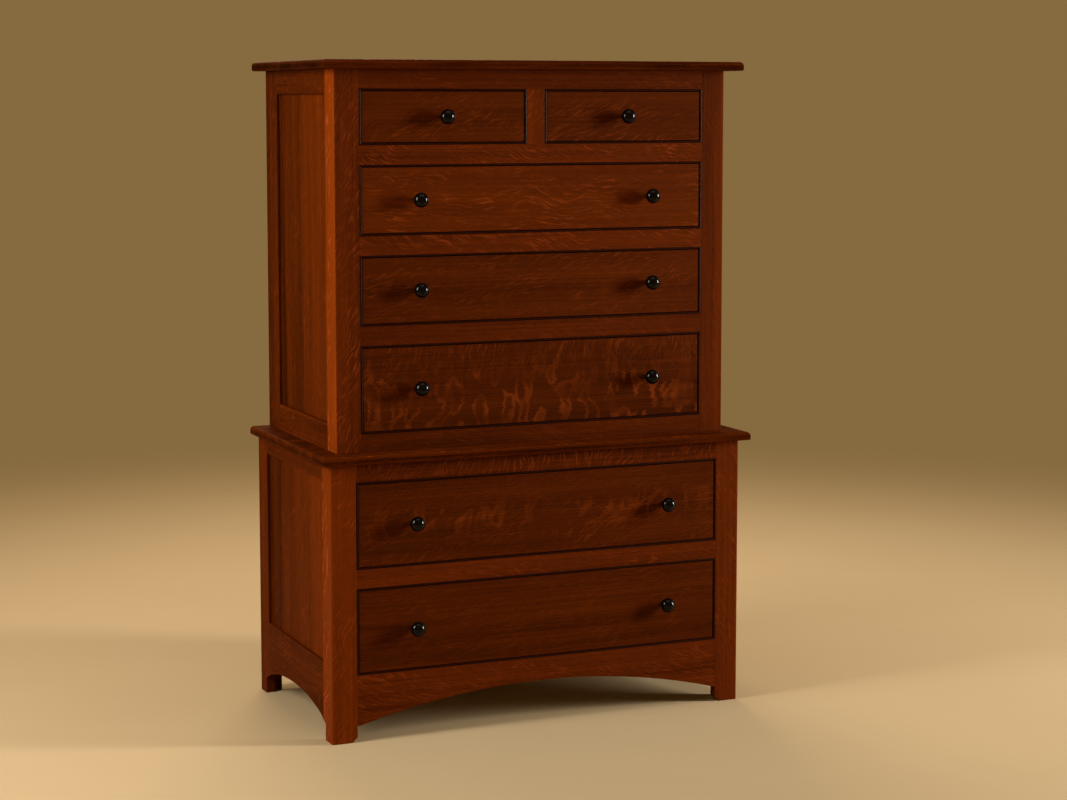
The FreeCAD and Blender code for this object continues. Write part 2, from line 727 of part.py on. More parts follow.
def drawer(name, case, row, opening, knob_places):
    """A dovetailed drawer in its opening; returns its front, box boards, bottom and knobs."""
    left, right = f"{opening[0]} + bead + drawer_gap", f"{opening[1]} - bead - drawer_gap"
    face_y = f"{case['front']} + front_setback"
    front_back_y = f"{face_y} + drawer_front"
    back_front_y = "drawer_rear_y - drawer_back"
    front_z = (f"open_z_{row} + bead + drawer_gap", f"open_z_{row} + row_{row} - bead - drawer_gap")
    side_z = (f"open_z_{row} + bead + runner_gap", f"{front_z[1]} - side_drop")
    bottom_z = f"{side_z[0]} + bottom_raise"

    bottom = block(f"{name}_bottom_board",
                   (f"{left} + drawer_side - bottom_groove", f"{right} - drawer_side + bottom_groove"),
                   (f"{front_back_y} - bottom_groove", f"{back_front_y} + bottom_groove"),
                   (bottom_z, f"{bottom_z} + drawer_bottom"))
    front_tails, back_tails, side_boards = [], [], []
    for place, x in (("left", (left, f"{left} + drawer_side")), ("right", (f"{right} - drawer_side", right))):
        label = f"{name}_{place}_side"
        board = block(f"{label}_board", x, (front_back_y, back_front_y), side_z)
        lap_y = f"{face_y} + dovetail_lap"
        at_front = dovetails(f"{label}_front", x, lap_y, front_back_y, side_z)
        at_back = dovetails(f"{label}_back", x, "drawer_rear_y", back_front_y, side_z)
        whole = join(f"{label}_tailed", [board] + at_front + at_back)
        side_boards.append(cut(label, whole, bottom))
        front_tails += at_front
        back_tails += at_back

    knob_z = f"open_z_{row} + row_{row} / 2"
    holes = [knob_hole(f"{name}_knob_hole_{number}", x, face_y, knob_z)
             for number, x in enumerate(knob_places, start=1)]
    knobs = [knob(f"{name}_knob_{number}", x, face_y, knob_z)
             for number, x in enumerate(knob_places, start=1)]
    front = cut(f"{name}_front_jointed",
                block(f"{name}_front_board", (left, right), (face_y, front_back_y), front_z),
                front_tails, bottom, holes)
    rear = cut(f"{name}_back_jointed",
               block(f"{name}_back_board", (left, right), (back_front_y, "drawer_rear_y"), side_z),
               back_tails, bottom)
    return {"front": [front], "box": side_boards + [rear], "bottom": [bottom], "knobs": knobs}


def drawers_and_beads():
    """All seven drawers in their beaded openings."""
    small = ("-upper_open", "-mullion / 2")
    pieces = drawer("top_left_drawer", UPPER, "1", small, ["-(upper_open + mullion / 2) / 2"])
    for kind, solids in pieces.items():
        left = node(f"top_left_drawer_{kind}", *solids)
        node(f"top_right_drawer_{kind}", mirror(f"top_drawer_{kind}_mirrored", left))
    beads = bead_frame("bead_1", UPPER, *small, "open_z_1", "open_z_1 + row_1")
    upper_beads = beads + [mirror(f"{strip.Name}_mirrored", strip) for strip in beads]
    lower_beads = []
    wide = {"2": "second_drawer", "3": "third_drawer", "4": "fourth_drawer", "5": "fifth_drawer",
            "6": "bottom_drawer"}
    for row, name in wide.items():
        case = UPPER if row in UPPER_ROWS else LOWER
        opening = (f"-{case['open']}", case["open"])
        places = [f"-({case['open']} - knob_inset)", f"{case['open']} - knob_inset"]
        for kind, solids in drawer(name, case, row, opening, places).items():
            node(f"{name}_{kind}", *solids)
        strips = bead_frame(f"bead_{row}", case, *opening, f"open_z_{row}", f"open_z_{row} + row_{row}")
        (upper_beads if case is UPPER else lower_beads).extend(strips)
    node("upper_drawer_beads", *upper_beads)
    node("lower_drawer_beads", *lower_beads)


def build():
    """Make every sub-part of the chest."""
    upper_face_frame()
    lower_face_frame()
    sides(UPPER, ("waist_z", "waist_z + upper_side_bottom"), ("upper_top_z - upper_side_top", "upper_top_z"))
    sides(LOWER, ("side_rail_low", "lower_panel_height"), ("lower_top_z - lower_side_top", "lower_top_z"))
    back(UPPER, ("waist_z", "waist_z + back_rail"), ("upper_top_z - back_rail", "upper_top_z"))
    back(LOWER, ("lower_back_clear", "lower_back_clear + back_rail"),
         ("lower_top_z - back_rail", "lower_top_z"))
    bores = tops()
    inner_works(UPPER, UPPER_ROWS, bores)
    inner_works(LOWER, LOWER_ROWS, bores)
    drawers_and_beads()
    doc.recompute()


def export():
    """Check every object of the document, then write each sub-part to its own file."""
    failed = [item.Label for item in doc.Objects if {"Invalid", "Error"} & set(item.State)]
    if failed:
        raise RuntimeError(f"objects that failed: {failed}")
    for label, piece in nodes.items():
        if piece.Shape.isNull() or not piece.Shape.isValid():
            raise RuntimeError(f"{label} has no valid shape")
    os.makedirs("parts", exist_ok=True)
    for label, piece in nodes.items():
        piece.Shape.exportStep(os.path.join("parts", f"{label}.step"))


build()
export()
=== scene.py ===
import json
import math
import random
from functools import partial

import bpy
from bpy.props import FloatProperty, FloatVectorProperty, IntProperty, PointerProperty
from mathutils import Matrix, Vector


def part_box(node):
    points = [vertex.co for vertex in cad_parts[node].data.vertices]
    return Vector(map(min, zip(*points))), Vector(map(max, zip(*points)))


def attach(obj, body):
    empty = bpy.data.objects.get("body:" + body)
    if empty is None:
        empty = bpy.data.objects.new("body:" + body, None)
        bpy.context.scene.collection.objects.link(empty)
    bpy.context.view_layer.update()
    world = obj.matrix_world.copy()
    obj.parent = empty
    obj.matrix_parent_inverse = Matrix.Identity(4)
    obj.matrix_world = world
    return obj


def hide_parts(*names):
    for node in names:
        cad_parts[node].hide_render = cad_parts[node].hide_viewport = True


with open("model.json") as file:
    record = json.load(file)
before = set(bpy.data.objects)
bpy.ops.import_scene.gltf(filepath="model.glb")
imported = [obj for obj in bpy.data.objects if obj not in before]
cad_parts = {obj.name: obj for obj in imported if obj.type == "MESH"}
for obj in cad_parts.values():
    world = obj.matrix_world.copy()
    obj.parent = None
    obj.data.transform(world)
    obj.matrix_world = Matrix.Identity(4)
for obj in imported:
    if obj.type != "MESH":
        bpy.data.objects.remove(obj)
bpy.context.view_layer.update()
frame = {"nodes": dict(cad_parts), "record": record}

bl_info = {
    "name": "Chest on Chest",
    "version": (1, 0, 0),
    "blender": (4, 5, 0),
    "location": "3D View > Sidebar > Chest",
    "description": "Dresses a packed chest on chest: eased oak boards, black beads and turned knobs",
    "category": "Object",
}

MM = 0.001

# Groups of CAD nodes, by the kind of work that finishes them

SIDE_FRAMES = (
    "upper_left_side_frame", "upper_right_side_frame", "lower_left_side_frame", "lower_right_side_frame",
)
SIDE_PANELS = (
    "upper_left_side_panel", "upper_right_side_panel", "lower_left_side_panel", "lower_right_side_panel",
)
BACK_FRAMES = ("upper_back_frame", "lower_back_frame")
BACK_PANELS = ("upper_back_panel", "lower_back_panel")
INNER_BOARDS = ("upper_runners", "lower_runners", "upper_web_rails", "lower_web_rails")
BEADS = ("upper_drawer_beads", "lower_drawer_beads")
DRAWERS = (
    "top_left_drawer", "top_right_drawer", "second_drawer", "third_drawer", "fourth_drawer", "fifth_drawer",
    "bottom_drawer",
)

# Places in the frame that tell boards of one node apart

WAIST_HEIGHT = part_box("waist_top")[1].z
THIRD_DRAWER_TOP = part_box("third_drawer_front")[1].z
SIDE_PANEL_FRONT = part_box("upper_left_side_panel")[0].y

# How copies of CAD nodes are merged, eased and shaded

CORNER_DECIMALS = 6
MERGE_ANGLE = math.radians(0.4)
SHARP_ANGLE = math.radians(40)
SMOOTH_ANGLE = math.radians(50)
EASE_STEPS = 3
WELD_GAP = 0.005 * MM

# How far out in the pattern a board may start, in metres, and how far its rays may stray, in degrees

START_REACH = 20
LEAN_SPREAD = 6

# What tells the faces of a board apart: the width of an eased edge, then parts of the face's normal

EASED_WIDTH = 1.4 * MM
SQUARE_ON = 0.995
BROAD_FROM = 0.7
END_GRAIN_FROM = 0.3
END_GRAIN_FULL = 0.8

# Patterns of the woods: waves to the metre along the grain, across it and through the board

DRIFT_WAVES = (4.0, 12.0, 12.0)
BAND_WAVES = (1.1, 24.0, 24.0)
SWIRL_WAVES = (6.0, 10.0, 5.0)
WAVER_WAVES = (32.0, 32.0, 32.0)
PATCH_WAVES = (8.0, 22.0, 5.0)
LINE_WAVES_ALONG = 1.6
LINE_WAVES_THROUGH = 60.0
FLECK_WAVES_THROUGH = 15.0
FLAME_WAVES_THROUGH = 8.0
INNER_DRIFT_WAVES = (3.0, 9.0, 9.0)
INNER_PORE_WAVES = (160.0, 1500.0, 1500.0)
STREAK_WAVES_ALONG = 1.5
BEAD_GRAIN_WAVES = (40.0, 1400.0, 1400.0)

# How far one pattern pushes another aside, in metres the same three ways

DRIFT_PUSH = (0.02, 0.012, 0.012)
SWIRL_PUSH = (0.05, 0.07, 0.0)
WAVER_PUSH = (0.012, 0.012, 0.0)
TEAR_PUSH = (0.03, 0.0, 0.0)
INNER_DRIFT_PUSH = (0.0, 0.03, 0.03)

# Patterns that are the same every way, in waves to the metre

LACQUER_PEEL_WAVES = 420.0
LACQUER_DUST_WAVES = 2600.0
ZINC_CLOUD_WAVES = 900.0
FLOOR_MOTTLE_WAVES = 3.0

# The oak's shade: where it starts, how dark it may get, and the tints without and with ray figure

GROUND_SHADE = -0.2
DARKEST_SHADE = 0.12
PLAIN_TINT = (1.0, 1.0, 1.0, 1.0)
FIGURE_TINT = (1.0, 1.1, 6.0, 1.0)


def linear(hex_colour):
    """An sRGB hex colour as linear red, green, blue and alpha."""
    channels = [int(hex_colour[place:place + 2], 16) / 255 for place in (1, 3, 5)]
    return [c / 12.92 if c <= 0.04045 else ((c + 0.055) / 1.055) ** 2.4 for c in channels] + [1.0]


def colour_property(name, description, hex_colour):
    """A colour that a user may change, given in sRGB hex."""
    return FloatVectorProperty(name=name, description=description, subtype="COLOR", size=4, min=0, max=1,
                               default=linear(hex_colour))


def length_property(name, description, millimetres):
    """A length that a user may change, given in millimetres."""
    return FloatProperty(name=name, description=description, subtype="DISTANCE", unit="LENGTH",
                         default=millimetres * MM, precision=5)


def angle_property(name, description, degrees):
    """An angle that a user may change, given in degrees."""
    return FloatProperty(name=name, description=description, subtype="ANGLE", unit="ROTATION",
                         default=math.radians(degrees))


def gloss_property(name, description, level):
    """A strength of reflections that a user may change, from 0 to 1."""
    return FloatProperty(name=name, description=description, subtype="FACTOR", min=0, max=1, default=level,
                         precision=4)


class ChestOakSettings(bpy.types.PropertyGroup):
    """Stains, lacquer and figure of the oak, and how far its edges are eased."""
    front_stain: colour_property("Front stain", "Stain of the drawer fronts", "#441901")
    case_stain: colour_property("Case stain", "Stain of the frames and boards", "#501E02")
    panel_stain: colour_property("Panel stain", "Stain of the side panels", "#4F1E02")
    lacquer_tint: colour_property("Lacquer tint", "Warmth of the light that the lacquer returns", "#FFB070")
    satin_gloss: gloss_property("Satin gloss", "Gloss of the fronts, face frames and back panels", 0.03)
    rubbed_gloss: gloss_property("Rubbed gloss", "Gloss of the tops, the sides and the back frames", 0.006)
    edge_ease: length_property("Eased edge", "How far the edges of the boards are eased", 0.5)
    front_ease: length_property("Eased front", "How far the edges of the drawer fronts are eased", 1.0)
    ring_width: length_property("Ring width", "Width of one year's growth on the face of a board", 3.6)
    pore_length: length_property("Pore length", "Length of an open pore along the grain", 14)
    pore_width: length_property("Pore width", "Width of a pore, drawn coarser than life to show", 0.7)
    fleck_pitch: length_property("Fleck pitch", "How far apart the fine ray flecks lie", 3.3)
    fleck_length: length_property("Fleck length", "Length of a fine ray fleck", 32)
    flame_pitch: length_property("Flame pitch", "How far apart the large ray flames lie", 34)
    flame_length: length_property("Flame length", "Length of a large ray flame", 90)


class ChestTrimSettings(bpy.types.PropertyGroup):
    """The black beads and the turned knobs."""
    bead_black: colour_property("Bead black", "Colour of the ebonised beads", "#1C0301")
    bead_sheen: colour_property("Bead sheen", "Warmth of the light that the beads return", "#FFDDB8")
    bead_gloss: gloss_property("Bead gloss", "Gloss of the beads", 0.10)
    knob_black: colour_property("Knob black", "Colour of the lacquered knobs", "#050404")
    knob_gloss: gloss_property("Knob gloss", "Gloss of the knobs", 0.16)
    knob_steps: IntProperty(name="Knob steps", description="Sides of a turned knob", default=64, min=16)
    knob_foot: length_property("Knob foot", "Width of a knob's foot on the drawer front", 14)
    knob_neck: length_property("Knob neck", "Height of the hollow between the foot and the rim", 14.2)
    knob_hollow: length_property("Knob hollow", "Radius of the hollow round the neck", 10)
    knob_rim: length_property("Knob rim", "Height of the rounded rim", 20)
    knob_rim_bulge: length_property("Rim bulge", "How far the rim swells", 4)
    knob_crown: length_property("Knob crown", "Height of the domed crown", 5.8)
    knob_tenon: length_property("Knob tenon", "Width of the tenon that the knob is glued in by", 10)
    knob_tenon_length: length_property("Tenon length", "Length of the knob's tenon", 14)


class ChestInsideSettings(bpy.types.PropertyGroup):
    """Plain woods and metal inside the cases."""
    maple: colour_property("Maple", "Sides and backs of the drawers", "#C8A273")
    birch: colour_property("Birch ply", "Bottoms of the drawers", "#CDB184")
    poplar: colour_property("Poplar", "Runners, web rails, kickers and stops", "#B39A6A")
    back_stain: colour_property("Back stain", "Stain of the plywood backs", "#5E2A0C")
    zinc: colour_property("Zinc", "Plating of the screws", "#B9B7AE")


class ChestStageSettings(bpy.types.PropertyGroup):
    """The floor, the light and the camera."""
    floor: colour_property("Floor", "Colour of the plain floor", "#B2A07E")
    floor_side: length_property("Floor side", "Length of the floor's sides", 9900)
    floor_fade: length_property("Floor fade", "How far from the chest the floor starts to fade", 1500)
    floor_reach: length_property("Floor reach", "How far from the chest the floor is gone", 4500)
    surround: colour_property("Surround", "Colour of the space around the floor", "#866A40")
    ambient: FloatProperty(name="Ambient", description="Strength of the light from all around", default=1.0)
    camera_place: FloatVectorProperty(name="Camera place", description="Where the camera stands",
                                      subtype="TRANSLATION", unit="LENGTH", size=3,
                                      default=(-2.1267, -5.132, 1.4513))
    camera_turn: angle_property("Camera turn", "How far the camera looks to the right", 23.36)
    camera_dip: angle_property("Camera dip", "How far the camera looks down", 5.76)
    lens: FloatProperty(name="Lens", description="Focal length in millimetres", unit="CAMERA", default=77.61)
    shift: FloatProperty(name="Shift", description="Upright shift of the lens", default=-0.06)


# Making meshes

def only(piece):
    """Select one object alone and make it active."""
    bpy.ops.object.select_all(action="DESELECT")
    piece.select_set(True)
    bpy.context.view_layer.objects.active = piece


def edit_all(piece):
    """Open one object for editing with all of its mesh selected."""
    only(piece)
    bpy.ops.object.mode_set(mode="EDIT")
    bpy.ops.mesh.select_all(action="SELECT")


def own_copy(piece):
    """A copy of an object that has its own mesh."""
    copy = piece.copy()
    copy.data = piece.data.copy()
    bpy.context.scene.collection.objects.link(copy)
    return copy


def joined(pieces, name):
    """Some objects joined into the first of them, under a new name."""
    only(pieces[0])
    for piece in pieces:
        piece.select_set(True)
    if len(pieces) > 1:
        bpy.ops.object.join()
    pieces[0].name = name
    return pieces[0]


def closed_solids(mesh):
    """The corners and faces of each closed solid in a CAD mesh, which holds them one after another."""
    places = [tuple(round(c, CORNER_DECIMALS) for c in vertex.co) for vertex in mesh.vertices]
    solids, faces, unmatched = [], [], {}
    for polygon in mesh.polygons:
        corners = [places[number] for number in polygon.vertices]
        if len(set(corners)) < 3:
            continue
        faces.append(corners)
        for start, end in zip(corners, corners[1:] + corners[:1]):
            if unmatched.get((end, start)):
                unmatched[end, start] -= 1
                if not unmatched[end, start]:
                    del unmatched[end, start]
            else:
                unmatched[start, end] = unmatched.get((start, end), 0) + 1
        if not unmatched:
            solids.append(faces)
            faces = []
    if faces:
        solids.append(faces)
    return solids


def merged_copy(node, name):
    """A copy of a CAD node whose triangles are merged into whole faces, each solid by itself."""
    corners, faces = [], []
    for solid in closed_solids(frame["nodes"][node].data):
        numbers = {}
        for face in solid:
            for corner in face:
                if corner not in numbers:
                    numbers[corner] = len(corners)
                    corners.append(corner)
            faces.append([numbers[corner] for corner in face])
    mesh = bpy.data.meshes.new(name)
    mesh.from_pydata(corners, [], faces)
    mesh.validate()
    piece = bpy.data.objects.new(name, mesh)
    bpy.context.scene.collection.objects.link(piece)
    edit_all(piece)
    bpy.ops.mesh.dissolve_limited(angle_limit=MERGE_ANGLE)
    bpy.ops.object.mode_set(mode="OBJECT")
    return piece


def bisect_at(place, axis, **options):
    """Cut all of the mesh that is open for editing at a place along an axis."""
    bpy.ops.mesh.select_all(action="SELECT")
    bpy.ops.mesh.bisect(plane_co=Vector(axis) * place, plane_no=axis, **options)


def cut_across(piece, places, axis):
    """Cut edges into the faces of a piece at some places along an axis, without opening it."""
    edit_all(piece)
    for place in places:
        bisect_at(place, axis)
    bpy.ops.object.mode_set(mode="OBJECT")
    return piece


def sawn_into_boards(piece, places, axis):
    """Saw a piece into closed boards at some places along an axis, and join them again side by side."""
    name = piece.name
    ends = [None, *places, None]
    boards = []
    for start, end in zip(ends, ends[1:]):
        board = own_copy(piece)
        edit_all(board)
        if start is not None:
            bisect_at(start, axis, use_fill=True, clear_inner=True)
        if end is not None:
            bisect_at(end, axis, use_fill=True, clear_outer=True)
        bpy.ops.object.mode_set(mode="OBJECT")
        boards.append(board)
    bpy.data.objects.remove(piece)
    return joined(boards, name)


def ease(piece, width):
    """Round over the sharp edges of a piece."""
    only(piece)
    bevel = piece.modifiers.new("eased_edges", "BEVEL")
    bevel.width = width
    bevel.segments = EASE_STEPS
    bevel.limit_method = "ANGLE"
    bevel.angle_limit = SHARP_ANGLE
    bevel.use_clamp_overlap = True
    bpy.ops.object.modifier_apply(modifier=bevel.name)


def smooth(piece, angle=SMOOTH_ANGLE):
    """Shade rounded parts smoothly and keep broad faces flat."""
    only(piece)
    bpy.ops.object.shade_smooth_by_angle(angle=angle)
    weighted = piece.modifiers.new("flat_faces", "WEIGHTED_NORMAL")
    weighted.keep_sharp = True
    bpy.ops.object.modifier_apply(modifier=weighted.name)


def islands(mesh):
    """The vertex numbers of each separate board in a mesh."""
    parent = list(range(len(mesh.vertices)))

    def root(number):
        while parent[number] != number:
            parent[number] = parent[parent[number]]
            number = parent[number]
        return number

    for edge in mesh.edges:
        first, second = (root(number) for number in edge.vertices)
        parent[second] = first
    groups = {}
    for number in range(len(parent)):
        groups.setdefault(root(number), []).append(number)
    return list(groups.values())


def strength_at(height, strengths):
    """A strength read between evenly spaced ones, for a height from 0 to 1."""
    last = len(strengths) - 1
    step = height * last
    before = min(int(step), last)
    after = min(before + 1, last)
    return strengths[before] + (strengths[after] - strengths[before]) * (step - before)


def face_cuts(mesh, board_axes, edge):
    """How each face was cut: broad or narrow, how far across the grain, and whether it is an eased edge;
    narrow faces also take the painted light given for the board's narrow sides.
    """
    cuts = {name: [0.0] * len(mesh.polygons) for name in ("broad", "edge_tone", "end_grain", "eased")}
    for polygon in mesh.polygons:
        along, thin = board_axes[polygon.vertices[0]]
        facing = [abs(part) for part in polygon.normal]
        longest = max((mesh.vertices[a].co - mesh.vertices[b].co).length for a, b in polygon.edge_keys)
        if polygon.area < longest * EASED_WIDTH and max(facing) < SQUARE_ON:
            cuts["eased"][polygon.index] = 1.0
        # A narrow face takes the board's edge paleness: painted light where light falls on that side
        if facing[thin] > BROAD_FROM:
            cuts["broad"][polygon.index] = 1.0
        else:
            cuts["edge_tone"][polygon.index] = edge
        across_grain = (facing[along] - END_GRAIN_FROM) / (END_GRAIN_FULL - END_GRAIN_FROM)
        cuts["end_grain"][polygon.index] = min(max(across_grain, 0.0), 1.0)
    return cuts


def write_grain(piece, grain=None, tone=0.0, tone_spread=0.5, fleck=(0.5,), flame=(0.0,), lean=-25.0,
                edge=0.0):
    """Store how each board of a piece was sawn, for its material to read.

    board holds places along the grain, across the face and through the thickness, from a start that differs
    for each board. rays holds the same places along and across the ray flecks, which cross the grain at the
    angle lean. fleck and flame are strengths from the lowest to the highest edge of the board, and tone is
    how pale it is, with painted light on boards where more light falls; each is given as it is or as a rule
    from the board's middle. edge is how much paler the narrow sides are, painted light where light falls on
    them.
    """
    mesh = piece.data
    count = len(mesh.vertices)
    places = {name: [None] * count for name in ("board", "rays")}
    levels = {name: [0.0] * count for name in ("tone", "fleck_share", "flame_share")}
    board_axes = [None] * count
    for number, board in enumerate(islands(mesh)):
        draw = random.Random(f"{piece.name} {number}")
        low, high = ([pick(mesh.vertices[i].co[axis] for i in board) for axis in range(3)]
                     for pick in (min, max))
        spans = [high[axis] - low[axis] for axis in range(3)]
        thin = min(range(3), key=lambda axis: spans[axis])
        along = "xyz".index(grain) if grain else max(range(3), key=lambda axis: spans[axis])
        across = next(axis for axis in range(3) if axis not in (along, thin))
        start = [draw.uniform(-START_REACH, START_REACH) for axis in range(3)]
        middle = Vector([(low[axis] + high[axis]) / 2 for axis in range(3)])
        shade, flecks, flames = (rule(middle) if callable(rule) else rule for rule in (tone, fleck, flame))
        shade += draw.uniform(-tone_spread, tone_spread)
        angle = math.radians(lean + draw.uniform(-LEAN_SPREAD, LEAN_SPREAD))
        for i in board:
            co = mesh.vertices[i].co
            u, v, w = start[0] + co[along], start[1] + co[across], start[2] + co[thin]
            places["board"][i] = (u, v, w)
            places["rays"][i] = (u * math.cos(angle) + v * math.sin(angle),
                                 v * math.cos(angle) - u * math.sin(angle), w)
            board_axes[i] = (along, thin)
            height = (co[across] - low[across]) / spans[across]
            levels["tone"][i] = shade
            levels["fleck_share"][i] = strength_at(height, flecks)
            levels["flame_share"][i] = strength_at(height, flames)
    for name, values in places.items():
        flat = [value for place in values for value in place]
        mesh.attributes.new(name, "FLOAT_VECTOR", "POINT").data.foreach_set("vector", flat)
    for name, values in levels.items():
        mesh.attributes.new(name, "FLOAT", "POINT").data.foreach_set("value", values)
    for name, values in face_cuts(mesh, board_axes, edge).items():
        mesh.attributes.new(name, "FLOAT", "FACE").data.foreach_set("value", values)


def body_of(node):
    """The moving body that carries a CAD node."""
    return next(body for body, nodes in frame["record"]["behaviour"]["bodies"].items() if node in nodes)


def settle(piece, node, material):
    """Give a finished piece its material and let it stand for its CAD node."""
    piece.data.materials.clear()
    piece.data.materials.append(material)
    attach(piece, body_of(node))
    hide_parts(node)


def dress(node, wood, material, sawn=None, eased=0.0, **figure):
    """Merge a copy of a CAD node, saw and ease it, store its grain and let it stand for the node."""
    piece = merged_copy(node, f"{node}_{wood}")
    if sawn:
        piece = sawn(piece)
    if eased:
        ease(piece, eased)
    smooth(piece)
    write_grain(piece, **figure)
    settle(piece, node, material)


# Materials

def add_node(tree, kind, inputs=None, out=0, **settings):
    """Add a node and give one of its outputs; inputs maps its sockets to plain values or to outputs."""
    node = tree.nodes.new(f"ShaderNode{kind}")
    for name, value in settings.items():
        setattr(node, name, value)
    for socket, value in (inputs or {}).items():
        if isinstance(value, bpy.types.NodeSocket):
            tree.links.new(value, node.inputs[socket])
        else:
            node.inputs[socket].default_value = value
    return node.outputs[out] if node.outputs else None


def new_material(name):
    """An empty node material, and the function that adds nodes to it."""
    material = bpy.data.materials.new(name)
    material.use_nodes = True
    material.node_tree.nodes.clear()
    return material, partial(add_node, material.node_tree)


def finish(name, recipe, *values, **options):
    """The material of a name, made by its recipe when it is first asked for."""
    return bpy.data.materials.get(name) or recipe(name, *values, **options)


def stained_oak(name, stain, oak, gloss):
    """Quarter-sawn white oak, stained dark red-brown and lacquered to a satin sheen."""
    # To the eye: straight fine grain with open pores, crossed by paler ray flecks, bold on some boards
    material, add = new_material(name)
    board = add("Attribute", out="Vector", attribute_name="board")
    rays = add("Attribute", out="Vector", attribute_name="rays")
    told = {each: add("Attribute", out="Fac", attribute_name=each)
            for each in ("tone", "edge_tone", "fleck_share", "flame_share", "broad", "end_grain", "eased")}

    # The grain wanders slowly from side to side
    drift = add("VectorMath", {0: board, 1: DRIFT_WAVES}, operation="MULTIPLY")
    drift = add("TexNoise", {"Vector": drift, "Scale": 1.0, "Detail": 2.0}, out="Color")
    drift = add("VectorMath", {0: drift, 1: (0.5, 0.5, 0.5)}, operation="SUBTRACT")
    drift = add("VectorMath", {0: drift, 1: DRIFT_PUSH}, operation="MULTIPLY")
    wood = add("VectorMath", {0: board, 1: drift}, operation="ADD")

    # Years of growth: fine lines and broader bands along the grain
    line_waves = (LINE_WAVES_ALONG, 1 / oak.ring_width, LINE_WAVES_THROUGH)
    lines = add("VectorMath", {0: wood, 1: line_waves}, operation="MULTIPLY")
    lines = add("TexNoise", {"Vector": lines, "Scale": 1.0, "Detail": 4.0, "Roughness": 0.62})
    bands = add("VectorMath", {0: wood, 1: BAND_WAVES}, operation="MULTIPLY")
    bands = add("TexNoise", {"Vector": bands, "Scale": 1.0, "Detail": 2.0})

    # Open pores, dark dashes along the grain
    pore_waves = (1 / oak.pore_length, 1 / oak.pore_width, 1 / oak.pore_width)
    pores = add("VectorMath", {0: wood, 1: pore_waves}, operation="MULTIPLY")
    pores = add("TexNoise", {"Vector": pores, "Scale": 1.0, "Detail": 1.0})
    pores = add("MapRange", {"Value": pores, "From Min": 0.56, "From Max": 0.70},
                interpolation_type="SMOOTHSTEP")

    # Rays swirl slowly and waver
    swirl = add("VectorMath", {0: wood, 1: SWIRL_WAVES}, operation="MULTIPLY")
    swirl = add("TexNoise", {"Vector": swirl, "Scale": 1.0, "Detail": 1.0}, out="Color")
    swirl = add("VectorMath", {0: swirl, 1: SWIRL_PUSH}, operation="MULTIPLY")
    waver = add("VectorMath", {0: wood, 1: WAVER_WAVES}, operation="MULTIPLY")
    waver = add("TexNoise", {"Vector": waver, "Scale": 1.0, "Detail": 2.0}, out="Color")
    waver = add("VectorMath", {0: waver, 1: WAVER_PUSH}, operation="MULTIPLY")
    bend = add("VectorMath", {0: swirl, 1: waver}, operation="ADD")

    # Fine flecks in patches
    fleck_waves = (1 / oak.fleck_length, 1 / oak.fleck_pitch, FLECK_WAVES_THROUGH)
    flecks = add("VectorMath", {0: rays, 1: bend}, operation="ADD")
    flecks = add("VectorMath", {0: flecks, 1: fleck_waves}, operation="MULTIPLY")
    flecks = add("TexNoise", {"Vector": flecks, "Scale": 1.0, "Detail": 1.0})
    flecks = add("MapRange", {"Value": flecks, "From Min": 0.53, "From Max": 0.66},
                 interpolation_type="SMOOTHSTEP")
    patches = add("VectorMath", {0: wood, 1: PATCH_WAVES}, operation="MULTIPLY")
    patches = add("TexNoise", {"Vector": patches, "Scale": 1.0, "Detail": 1.0})
    patches = add("MapRange", {"Value": patches, "From Min": 0.36, "From Max": 0.62, "To Min": 0.2})
    for share in (patches, told["fleck_share"]):
        flecks = add("Math", {0: flecks, 1: share}, operation="MULTIPLY")

    # Large upright flames, sharp on one side and soft on the other, torn along the fine lines
    flame_waves = (1 / oak.flame_pitch, 1 / oak.flame_length, FLAME_WAVES_THROUGH)
    torn = add("VectorMath", {0: lines, 1: TEAR_PUSH}, operation="MULTIPLY")
    place = wood
    for push in (bend, torn):
        place = add("VectorMath", {0: place, 1: push}, operation="ADD")
    flames = add("VectorMath", {0: place, 1: flame_waves}, operation="MULTIPLY")
    flames = add("TexNoise", {"Vector": flames, "Scale": 1.0, "Detail": 1.0})
    soft = add("MapRange", {"Value": flames, "From Min": 0.53, "From Max": 0.64, "To Min": 1.0,
                            "To Max": 0.0})
    flames = add("MapRange", {"Value": flames, "From Min": 0.50, "From Max": 0.53})
    for share in (soft, patches, told["flame_share"]):
        flames = add("Math", {0: flames, 1: share}, operation="MULTIPLY")
    figure = add("Math", {0: flames, 1: flecks}, operation="ADD")
    figure = add("Math", {0: figure, 1: told["broad"]}, operation="MULTIPLY")

    # Stain: lines, bands and the board's own tone, then figure, pores, end grain, and eased edges painted
    # paler, partly as wear and partly as a painted highlight along them
    # The board's tone and its narrow sides' tone carry painted light on some boards, where light falls on
    # them
    tone = add("Math", {0: told["tone"], 1: told["edge_tone"]}, operation="ADD")
    shade = GROUND_SHADE
    for part, weight in ((lines, 1.3), (bands, 1.1), (tone, 0.2), (figure, 1.7), (pores, -0.5),
                         (told["end_grain"], -0.2), (told["eased"], 0.25)):
        shade = add("Math", {0: part, 1: weight, 2: shade}, operation="MULTIPLY_ADD")
    shade = add("Math", {0: shade, 1: DARKEST_SHADE}, operation="MAXIMUM")
    colour = add("VectorMath", {0: stain[:3], 3: shade}, operation="SCALE")
    tint = add("Mix", {"Factor": figure, "A": PLAIN_TINT, "B": FIGURE_TINT}, out="Result", data_type="RGBA")
    colour = add("VectorMath", {0: colour, 1: tint}, operation="MULTIPLY")

